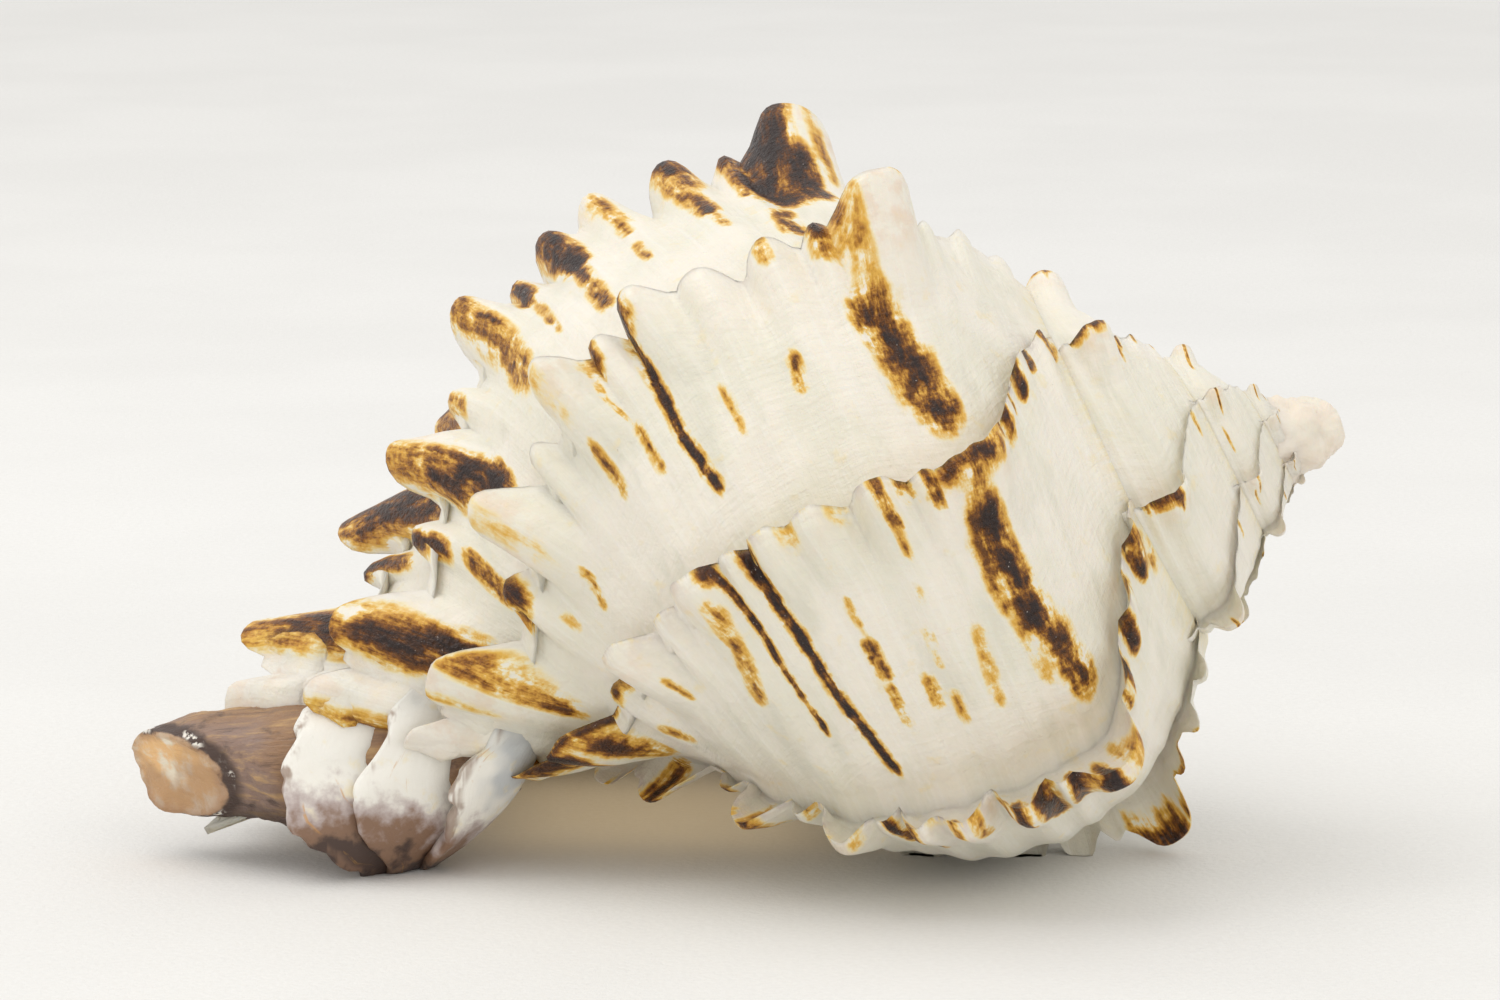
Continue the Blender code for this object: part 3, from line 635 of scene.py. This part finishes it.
        -3: ((46, 0, 51, 0, 0.8, 0.9, 0.6),),
        -4: ((45, 0, 51.5, 0, 0.7, 0.95, 0.5), (41.5, -2.4, 41.4, -1.4, 0.6, 0.5, 0.5)),
        -5: ((46.5, -0.2, 54, 0, 0.8, 0.95, 0.6), (31.9, -1.8, 31.9, -0.6, 0.6, 0.5, 0.5)),
        -6: ((33.6, -1.6, 33.4, -0.6, 0.6, 0.55, 0.5),),
        -10: ((46.6, -2.6, 46.6, 0, 0.5, 0.85, 0.4),),
        -11: ((49.2, -4.8, 49.2, -3.6, 0.4, 0.85, 0.4),),
        -12: ((49.2, -2.8, 49.2, -1.6, 0.4, 0.85, 0.4),),
    },
    # two dark lines that run back from the lips: lip, ((along, behind), ...), half width, darkness
    "threads": {
        "threadA": (
            (3, ((76.2, 1), (76.5, -5), (77.0, -11), (76.1, -19)), 0.5, 1.0),
            (2, ((77.2, 1), (77.1, -4.3), (76.5, -10.7), (75.9, -17.6), (74.2, -27)), 0.62, 1.0),
            (1, ((75.0, 1), (74.2, -7)), 0.5, 1.0),
        ),
        "threadB": (
            (3, ((80.4, 1), (81.4, -4.6), (80.6, -8)), 0.25, 0.35),
            (2, ((81.7, 1), (80.6, -3.6), (80.7, -9.9), (80.2, -19.5)), 0.38, 0.8),
            (1, ((78.6, 1), (77.4, -6)), 0.45, 1.0),
        ),
    },
    # how dark the free edges are, from the oldest whole lip to the last; older ones take the first
    "edges": (0.2, 0.9, 0.75, 0.4, 0.3, 0.35, 0.5),
    "oldEdges": 0.16,
    "strayShare": 0.3,
    # all strokes: how much narrower their hearts are and how much wider their fading edges
    "narrow": 0.15,
    "soften": 1.5,
}


def strokeMarks(data):
    mark = np.zeros(len(data["along"]))
    strokes = [(k, *stroke) for k, rows in markValues["strokes"].items() for stroke in rows]
    random = np.random.default_rng(5)
    for k in range(-growthValues["spireLips"], 0):
        # each old shoulder knob and some of the small ones are stained
        for at in (31.0, 35.5, 40.5, 46.8):
            if random.random() < (0.75 if at > 46 else markValues["strayShare"]):
                strokes.append((k, at, -1.2, at, 0.2, 0.5, 0.4 + 0.5 * random.random(), 0.5))
    for lipAt, startAlong, startReach, endAlong, endReach, half, dark, fade in strokes:
        near = (np.abs(data["lipAt"] - lipAt) < 0.5) & (data["part"] < 2.5)
        start = np.array((arcAt(startAlong), startReach))
        way = np.array((arcAt(endAlong), endReach)) - start
        offset = np.stack([arcAt(data["along"][near]), data["reach"][near]], -1) - start
        share = np.clip(offset @ way / max(1e-9, way @ way), 0, 1)
        away = np.hypot(*(offset - share[:, None] * way).T)
        value = dark * smoothStep(0.5 + (half - markValues["narrow"] - away) / (2 * fade * markValues["soften"]))
        mark[near] = np.maximum(mark[near], value)
    return mark


def threadMarks(data, threads):
    # signed distance from a dark line, in millimetres, and how dark it is there
    offset = np.full(len(data["along"]), 9.0)
    dark = np.zeros(len(data["along"]))
    for lipAt, path, half, strength in threads:
        near = np.abs(data["lipAt"] - lipAt) < 0.5
        path = np.array(path[::-1])
        reach = data["reach"][near]
        centre = arcAt(np.interp(reach, path[:, 1], path[:, 0]))
        offset[near] = (arcAt(data["along"][near]) - centre) / half
        dark[near] = strength * smoothStep((reach - path[0, 1]) / 2.0) * smoothStep((path[-1, 1] - reach) / 0.5)
    return offset, dark


def storeMarks(shell, data):
    mesh = shell.data
    last = len(growthValues["lips"]) - 1
    edgeDark = np.array([markValues["edges"][int(np.clip(k, 0, last))] if k > -0.5 else markValues["oldEdges"]
                         for k in data["lipAt"]])
    values = {
        "mark": strokeMarks(data),
        "edge": np.exp(-np.abs(data["reach"] - 0.1) / 0.9) * edgeDark * (data["part"] < 0.5),
        "spine": data["spine"],
        "inside": np.clip(data["part"] - 1, 0, 1) * (data["part"] < 2.5),
        "tip": (data["part"] > 4.5) + np.exp(-(((data["lipAt"] + 20) / 5.0) ** 2)) * (data["lipAt"] < -4) * 0.8,
        "suture": np.exp(-arcAt(data["along"]) / 1.6) * (data["part"] < 0.5),
        "reach": data["reach"],
        "alongAxis": data["along"],
        "lipAt": data["lipAt"],
    }
    for name, threads in markValues["threads"].items():
        values[name], values[name + "Dark"] = threadMarks(data, threads)
    for name, found in values.items():
        layer = mesh.attributes.new(name, "FLOAT", "POINT")
        layer.data.foreach_set("value", np.ascontiguousarray(found, np.float32))
    # one map: along the lip across, and the distance grown upwards, both in centimetres
    grown = (data["lipAt"] * 45 + data["reach"]) / 10
    across = arcAt(data["along"]) / 10
    loops = np.empty(len(mesh.loops), np.int32)
    mesh.loops.foreach_get("vertex_index", loops)
    layer = mesh.uv_layers.new(name="growth")
    layer.data.foreach_set("uv", np.stack([across[loops], grown[loops]], -1).astype(np.float32).ravel())


storeMarks(shell, shellData)
print("markings laid")


class Nodes:
    # adds shader nodes to one tree and gives back the socket that the next node reads
    def __init__(self, tree):
        self.tree = tree

    def add(self, kind, inputs=None, **settings):
        node = self.tree.nodes.new(kind)
        for name, value in settings.items():
            setattr(node, name, value)
        for name, value in (inputs or {}).items():
            self.put(node.inputs[name], value)
        return node

    def put(self, socket, value):
        if isinstance(value, bpy.types.NodeSocket):
            self.tree.links.new(value, socket)
        else:
            socket.default_value = value

    def calc(self, operation, a, b=0.5, clamp=False):
        return self.add("ShaderNodeMath", {0: a, 1: b}, operation=operation, use_clamp=clamp).outputs[0]

    def times(self, first, *others):
        for value in others:
            first = self.calc("MULTIPLY", first, value)
        return first

    def total(self, first, *others):
        for value in others:
            first = self.calc("ADD", first, value)
        return first

    def swing(self, value, amount):
        # noise that swings both ways round nothing
        return self.times(self.calc("SUBTRACT", value), amount)

    def layers(self, colour, *steps):
        # each step lays one colour over those before it where its mask is 1
        for mask, laid in steps:
            node = self.add("ShaderNodeMix", data_type="RGBA")
            for place, value in ((0, mask), (6, colour), (7, laid)):
                self.put(node.inputs[place], (*value, 1) if isinstance(value, tuple) else value)
            colour = node.outputs[2]
        return colour

    def noise(self, vector, scale, detail=4.0, rough=0.55):
        return self.add("ShaderNodeTexNoise", {"Vector": vector, "Scale": scale, "Detail": detail,
                                               "Roughness": rough}).outputs["Fac"]

    def stretched(self, vector, across, up, detail=4.0, rough=0.6):
        # noise drawn out along or across the growth
        scaled = self.add("ShaderNodeMapping", {"Vector": vector, "Scale": (across, up, 1.0)}).outputs[0]
        return self.noise(scaled, 1.0, detail, rough)

    def fade(self, value, low, high, toLow=0.0, toHigh=1.0):
        return self.add("ShaderNodeMapRange", {0: value, 1: low, 2: high, 3: toLow, 4: toHigh},
                        interpolation_type="SMOOTHSTEP").outputs[0]

    def ramp(self, value, stops):
        node = self.add("ShaderNodeValToRGB", {0: value})
        ramp = node.color_ramp
        while len(ramp.elements) < len(stops):
            ramp.elements.new(0.5)
        for element, (place, colour) in zip(ramp.elements, stops):
            element.position = place
            element.color = (*colour, 1)
        return node.outputs[0]

    def read(self, name):
        return self.add("ShaderNodeAttribute", attribute_name=name).outputs["Fac"]

    def finish(self, surface, colour, rough, height, bumps, constants):
        self.put(surface.inputs["Base Color"], colour)
        self.put(surface.inputs["Roughness"], rough)
        bump = self.add("ShaderNodeBump", {"Strength": bumps[0], "Distance": bumps[1], "Height": height})
        self.put(surface.inputs["Normal"], bump.outputs[0])
        for name, value in constants.items():
            surface.inputs[name].default_value = value


grainValues = {
    # noise scales: per metre on the place, per centimetre on the growth map (across, up)
    "mottle": 85.0,
    "patches": 400.0,
    "fine": 1700.0,
    "sparkle": 2600.0,
    "lines": (1.6, 15.0),
    "threads": (11.0, 0.7),
    # what each adds to the bumps
    "heights": {"Lines": 0.35, "Threads": 0.3, "Patches": 0.6, "Fine": 0.22},
}


def makeGrain():
    # worn grain, growth lines and spiral threads, shared by the shell's materials
    group = bpy.data.node_groups.new("shellGrain", "ShaderNodeTree")
    for name in ("Place", "Growth"):
        group.interface.new_socket(name, in_out="INPUT", socket_type="NodeSocketVector")
    place, growthMap = group.nodes.new("NodeGroupInput").outputs[:2]
    nodes = Nodes(group)
    found = {
        "Mottle": nodes.noise(place, grainValues["mottle"], 3.0),
        "Patches": nodes.noise(place, grainValues["patches"], 4.0),
        "Fine": nodes.noise(place, grainValues["fine"], 3.0),
        "Sparkle": nodes.noise(place, grainValues["sparkle"], 2.0, 0.7),
        "Lines": nodes.stretched(growthMap, *grainValues["lines"]),
        "Threads": nodes.stretched(growthMap, *grainValues["threads"]),
    }
    heights = [nodes.times(found[name], share) for name, share in grainValues["heights"].items()]
    found["Height"] = nodes.total(*heights)
    for name in found:
        group.interface.new_socket(name, in_out="OUTPUT", socket_type="NodeSocketFloat")
    made = group.nodes.new("NodeGroupOutput").inputs
    for name in found:
        group.links.new(found[name], made[name])
    return group


shellGrain = makeGrain()


def startMaterial(name):
    material = bpy.data.materials.new(name)
    material.use_nodes = True
    nodes = Nodes(material.node_tree)
    nodes.place = nodes.add("ShaderNodeTexCoord").outputs["Object"]
    nodes.growthMap = nodes.add("ShaderNodeUVMap", uv_map="growth").outputs[0]
    grain = nodes.add("ShaderNodeGroup", {"Place": nodes.place, "Growth": nodes.growthMap}, node_tree=shellGrain)
    return material, nodes, nodes.tree.nodes["Principled BSDF"], grain.outputs


porcelainValues = {
    "cream": (0.85, 0.80, 0.70),
    "white": (0.88, 0.855, 0.79),
    "greenish": (0.80, 0.765, 0.65),
    "yellow": (0.85, 0.70, 0.36),
    "smudge": (0.68, 0.66, 0.55),
    "pore": (0.40, 0.30, 0.18),
    "peach": (0.74, 0.50, 0.33),
    "inside": (0.86, 0.78, 0.66),
    # painted shade: the hollow darker and browner the deeper it runs in
    "insideShade": (0.72, 0.55, 0.38),
    "tip": (0.82, 0.73, 0.62),
    "edgeTint": (0.50, 0.40, 0.37),
    "fleck": (0.62, 0.55, 0.52),
    # how a stain's colour runs from its fading edge to its heart
    "stain": ((0.0, (0.85, 0.80, 0.70)), (0.1, (0.85, 0.71, 0.38)), (0.24, (0.74, 0.43, 0.075)),
              (0.4, (0.50, 0.23, 0.03)), (0.56, (0.22, 0.08, 0.013)), (0.76, (0.07, 0.026, 0.010)),
              (1.0, (0.026, 0.014, 0.012))),
    "roughness": (0.34, 0.5),
    # strength and depth in metres
    "bumps": (0.6, 0.0007),
    "surface": {"Subsurface Weight": 0.15, "Subsurface Radius": (1.0, 0.7, 0.4), "Subsurface Scale": 0.002,
                "Specular IOR Level": 0.32, "Coat Weight": 0.06, "Coat Roughness": 0.16},
}


def threadShade(nodes, name, wobble):
    # a thin line with a soft ochre edge, from the distance to its middle
    off = nodes.calc("ABSOLUTE", nodes.total(nodes.read(name), wobble))
    core = nodes.times(nodes.fade(off, 0.55, 1.35, 1.0, 0.0), 0.62)
    halo = nodes.times(nodes.fade(off, 0.9, 2.9, 1.0, 0.0), 0.3)
    return nodes.times(nodes.total(core, halo), nodes.read(name + "Dark"))


def porcelainMaterial():
    material, nodes, surface, grain = startMaterial("shellPorcelain")
    values = porcelainValues
    patches, lines, fine, sparkle = grain["Patches"], grain["Lines"], grain["Fine"], grain["Sparkle"]
    blotch = nodes.stretched(nodes.growthMap, 5.0, 3.0, 5.0, 0.65)
    smudge = nodes.fade(nodes.stretched(nodes.growthMap, 1.7, 0.9, 5.0, 0.6), 0.52, 0.68)
    pores = nodes.times(nodes.fade(sparkle, 0.72, 0.76), nodes.fade(patches, 0.55, 0.62), 0.5)
    spine = nodes.times(nodes.fade(nodes.read("spine"), 2.2, 6.5, 0.0, 0.32), nodes.fade(patches, 0.42, 0.6))
    suture = nodes.times(nodes.read("suture"), nodes.fade(lines, 0.35, 0.6), 0.6)
    tip = nodes.times(nodes.read("tip"), nodes.fade(patches, 0.35, 0.6, 0.25, 0.8))
    # painted shade deeper in the hollow, from how far in a point lies
    hollowShade = nodes.fade(nodes.read("reach"), 12.0, 55.0)
    # a violet-grey tint beside the free edges
    violet = nodes.calc("MULTIPLY", nodes.read("edge"), nodes.fade(blotch, 0.42, 0.6, 0.15, 0.95), True)
    colour = nodes.layers(
        values["cream"],
        (nodes.fade(grain["Mottle"], 0.42, 0.6), values["greenish"]),
        (nodes.fade(grain["Threads"], 0.46, 0.72, 0.0, 0.4), values["white"]),
        (nodes.times(smudge, 0.5), values["smudge"]),
        (pores, values["pore"]),
        (nodes.fade(patches, 0.6, 0.74, 0.0, 0.4), values["yellow"]),
        (spine, values["peach"]),
        (suture, values["yellow"]),
        (tip, values["tip"]),
        (nodes.read("inside"), nodes.layers(values["inside"], (hollowShade, values["insideShade"]))),
        (violet, values["edgeTint"]),
    )
    # stains, broken up along the growth lines
    broken = nodes.total(nodes.swing(lines, 0.8), nodes.swing(patches, 1.2), nodes.swing(blotch, 2.4),
                         nodes.swing(fine, 0.6))
    wobble = nodes.swing(patches, 2.0)
    mark = nodes.calc("MAXIMUM", threadShade(nodes, "threadA", wobble), threadShade(nodes, "threadB", wobble))
    mark = nodes.calc("MAXIMUM", nodes.read("mark"), mark)
    edgeNoise = nodes.fade(nodes.stretched(nodes.growthMap, 4.5, 2.0, 3.0), 0.46, 0.6)
    mark = nodes.calc("MAXIMUM", mark, nodes.times(nodes.read("edge"), edgeNoise, 0.22))
    mark = nodes.times(mark, nodes.fade(blotch, 0.34, 0.6, 0.66, 0.98))
    stained = nodes.calc("ADD", mark, nodes.times(broken, nodes.fade(mark, 0.0, 0.35, 0.0, 0.62)), True)
    # salt-white flecks in the darkest stains
    fleck = nodes.times(nodes.fade(sparkle, 0.68, 0.76), nodes.fade(stained, 0.65, 0.9), 0.7)
    colour = nodes.layers(colour, (nodes.fade(stained, 0.03, 0.16), nodes.ramp(stained, values["stain"])),
                          (fleck, values["fleck"]))
    rough = nodes.fade(patches, 0.3, 0.7, *values["roughness"])
    rough = nodes.calc("SUBTRACT", rough, nodes.fade(stained, 0.4, 0.8, 0.0, 0.1))
    rough = nodes.calc("SUBTRACT", rough, nodes.times(nodes.read("inside"), 0.16))
    pits = nodes.times(fine, nodes.fade(stained, 0.3, 0.8), 1.6)
    nodes.finish(surface, colour, rough, nodes.total(grain["Height"], pits), values["bumps"], values["surface"])
    return material


canalLookValues = {
    "brown": (0.30, 0.17, 0.09),
    "violet": (0.28, 0.185, 0.145),
    "ochre": (0.60, 0.38, 0.17),
    "dark": (0.07, 0.04, 0.03),
    "crust": (0.85, 0.80, 0.72),
    "endPale": (0.84, 0.52, 0.23),
    "endWhite": (0.86, 0.77, 0.61),
    "endBrown": (0.42, 0.24, 0.13),
    "plateBlue": (0.55, 0.57, 0.58),
    "plateViolet": (0.50, 0.42, 0.40),
    "plateBase": (0.25, 0.145, 0.09),
    "band": (0.60, 0.30, 0.06),
    "tubeBumps": (0.5, 0.0007),
    "plateBumps": (0.4, 0.0006),
    "tube": {"Subsurface Weight": 0.1, "Subsurface Radius": (1.0, 0.6, 0.3), "Subsurface Scale": 0.002},
    "plate": {"Subsurface Weight": 0.25, "Subsurface Radius": (0.8, 0.75, 0.8), "Subsurface Scale": 0.003},
}


def canalMaterial():
    # the old canal: a worn horn-brown tube with a pale broken end
    material, nodes, surface, grain = startMaterial("wornCanal")
    values = canalLookValues
    patches = grain["Patches"]
    fibreMap = nodes.add("ShaderNodeMapping", {"Vector": nodes.place, "Rotation": (0, math.radians(-20), 0),
                                               "Scale": (60.0, 900.0, 900.0)}).outputs[0]
    fibres = nodes.noise(fibreMap, 1.0, 4.0, 0.65)
    # height above the floor, for the painted shade on the tube's underside
    low = nodes.add("ShaderNodeSeparateXYZ", {"Vector": nodes.place}).outputs["Z"]
    end = nodes.total(nodes.read("reach"), nodes.swing(patches, 2.2))
    crack = nodes.times(nodes.fade(end, -1.5, -1.0), nodes.fade(end, 0.1, -0.4),
                        nodes.fade(nodes.stretched(nodes.place, 260.0, 260.0, 2.0), 0.46, 0.56),
                        nodes.fade(grain["Fine"], 0.46, 0.56))
    face = nodes.layers(
        values["endPale"],
        (nodes.fade(patches, 0.44, 0.62), values["endWhite"]),
        (nodes.fade(grain["Mottle"], 0.5, 0.62, 0.0, 0.7), values["endBrown"]),
        (nodes.fade(end, 1.2, 0.1, 0.0, 0.75), values["endBrown"]),
    )
    colour = nodes.layers(
        values["brown"],
        (nodes.fade(grain["Mottle"], 0.4, 0.6), values["violet"]),
        (nodes.fade(fibres, 0.48, 0.7, 0.0, 0.7), values["ochre"]),
        (nodes.fade(fibres, 0.46, 0.3, 0.0, 0.7), values["dark"]),
        (nodes.fade(patches, 0.56, 0.72, 0.0, 0.7), values["dark"]),
        # painted shade: the tube darker on its underside next to the floor
        (nodes.fade(low, 0.0075, 0.0045, 0.0, 0.75), values["dark"]),
        (nodes.fade(end, -3.0, -1.2), values["dark"]),
        (crack, values["crust"]),
        (nodes.fade(end, -0.25, 0.25), face),
    )
    height = nodes.total(fibres, nodes.times(grain["Fine"], 0.4))
    rough = nodes.fade(fibres, 0.3, 0.7, 0.38, 0.6)
    nodes.finish(surface, colour, rough, height, values["tubeBumps"], values["tube"])
    return material


def plateMaterial():
    # white thin plates, bluish where they let light through, browner lower down, with painted shade darkest next to
    # the floor
    material, nodes, surface, grain = startMaterial("canalPlates")
    values = canalLookValues
    patches, lines, mottle = grain["Patches"], grain["Lines"], grain["Mottle"]
    height = nodes.add("ShaderNodeSeparateXYZ", {"Vector": nodes.place}).outputs["Z"]
    lipAt = nodes.read("lipAt")
    # the youngest plate is brown highest up
    foot = nodes.total(height, nodes.swing(patches, 0.010), nodes.swing(mottle, 0.008),
                       nodes.fade(lipAt, 3.6, 2.6, 0.0, 0.0032))
    rim = nodes.times(nodes.fade(nodes.read("reach"), -0.9, -0.2),
                      nodes.fade(nodes.stretched(nodes.place, 500.0, 500.0, 3.0), 0.46, 0.6), 0.75)
    stain = nodes.times(nodes.fade(lines, 0.6, 0.7), nodes.fade(patches, 0.5, 0.6), 0.7)
    at = nodes.total(nodes.read("alongAxis"), nodes.swing(patches, 1.5))
    band = nodes.times(nodes.fade(at, 107.2, 107.8), nodes.fade(at, 109.8, 109.2), nodes.fade(lipAt, 3.4, 3.6),
                       nodes.fade(lines, 0.3, 0.55, 0.5, 1.0))
    colour = nodes.layers(
        porcelainValues["white"],
        (nodes.fade(mottle, 0.46, 0.6), values["plateBlue"]),
        (nodes.fade(patches, 0.56, 0.7, 0.0, 0.4), porcelainValues["yellow"]),
        (nodes.fade(foot, 0.0095, 0.0065), values["plateViolet"]),
        (nodes.fade(foot, 0.0072, 0.0048), values["plateBase"]),
        # painted shade: the plates darkest in the last few millimetres above the floor
        (nodes.fade(foot, 0.0042, 0.0022), values["dark"]),
        (rim, values["plateBase"]),
        (stain, values["band"]),
        (band, values["band"]),
    )
    rough = nodes.fade(patches, 0.3, 0.7, 0.34, 0.5)
    nodes.finish(surface, colour, rough, grain["Height"], values["plateBumps"], values["plate"])
    return material


def dressShell(shell, data):
    mesh = shell.data
    for material in (porcelainMaterial(), canalMaterial(), plateMaterial()):
        mesh.materials.append(material)
    part = data["part"]
    for face in mesh.polygons:
        kind = part[face.vertices[0]]
        face.material_index = 1 if 2.5 < kind < 3.5 else 2 if 3.5 < kind < 4.5 else 0


dressShell(shell, shellData)
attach(shell, "root")
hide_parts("shell")
print("shell finished")

stageValues = {
    "floorSize": 8.0,
    "floorColour": (0.79, 0.785, 0.77),
    "floorPale": (0.82, 0.815, 0.80),
    "floorThreads": (0.72, 0.71, 0.69),
    "floorRoughness": 0.85,
    "worldColour": (1.0, 0.99, 0.97, 1),
    "worldStrength": 0.91,
    # name, place, aim, size, power, colour
    "lamps": (
        ("overhead", (-0.32, 0.0, 0.74), (0, 0, 0.03), 0.6, 2.0, (1.0, 0.985, 0.96)),
        # what a thin shell lets through onto the floor under its arch
        ("glow", (-0.008, 0.010, 0.0085), (-0.008, 0.010, 0), 0.03, 0.0013, (1.0, 0.78, 0.48)),
        ("frontFill", (0.5, -0.8, 0.5), (0, 0, 0.03), 0.7, 0.9, (1.0, 0.96, 0.9)),
    ),
}


def makeStage():
    bpy.ops.object.select_all(action="DESELECT")
    bpy.ops.mesh.primitive_plane_add(size=stageValues["floorSize"])
    floor = bpy.context.object
    floor.name = "floor"
    material = bpy.data.materials.new("paleCloth")
    material.use_nodes = True
    nodes = Nodes(material.node_tree)
    surface = nodes.tree.nodes["Principled BSDF"]
    place = nodes.add("ShaderNodeTexCoord").outputs["Object"]
    grain = nodes.noise(place, 1500.0, 3.0)
    cloud = nodes.noise(place, 14.0, 3.0)
    colour = nodes.layers(stageValues["floorColour"], (nodes.fade(cloud, 0.35, 0.65), stageValues["floorPale"]),
                          (nodes.fade(grain, 0.3, 0.7, 0.0, 0.25), stageValues["floorThreads"]))
    nodes.finish(surface, colour, stageValues["floorRoughness"], grain, (0.25, 0.0005), {})
    floor.data.materials.append(material)
    world = bpy.data.worlds.new("studio")
    world.use_nodes = True
    background = world.node_tree.nodes["Background"]
    background.inputs["Color"].default_value = stageValues["worldColour"]
    background.inputs["Strength"].default_value = stageValues["worldStrength"]
    bpy.context.scene.world = world
    for name, at, aim, size, power, colour in stageValues["lamps"]:
        light = bpy.data.lights.new(name, "AREA")
        light.size = size
        light.energy = power
        light.color = colour
        lamp = bpy.data.objects.new(name, light)
        lamp.location = at
        lamp.rotation_euler = (Vector(aim) - Vector(at)).to_track_quat("-Z", "Y").to_euler()
        lamp.visible_camera = False
        bpy.context.scene.collection.objects.link(lamp)


cameraValues = {
    "elevation": 10,
    "distance": 650.0,
    # the apex sits this far right of the frame's middle and above it, in millimetres
    "apexRight": 575 / 10.48,
    "apexUp": 75 / 10.48,
    "frameWidth": 1500 / 10.48,
}


def makeCamera():
    tilt = math.radians(cameraValues["elevation"])
    up = Vector((0, math.sin(tilt), math.cos(tilt)))
    back = Vector((0, -math.cos(tilt), math.sin(tilt)))
    right = Vector((1, 0, 0))
    target = Vector(growthValues["apexAt"]) - cameraValues["apexRight"] * right - cameraValues["apexUp"] * up
    camera = bpy.data.cameras.new("camera")
    camera.angle = 2 * math.atan(cameraValues["frameWidth"] / 2 / cameraValues["distance"])
    camera.clip_start = 0.01
    holder = bpy.data.objects.new("camera", camera)
    holder.location = (target + cameraValues["distance"] * back) * mm
    holder.rotation_euler = (math.pi / 2 - tilt, 0, 0)
    bpy.context.scene.collection.objects.link(holder)
    bpy.context.scene.camera = holder


makeStage()
makeCamera()
bpy.context.scene.view_settings.view_transform = "Standard"
print("stage, lamps and camera set")
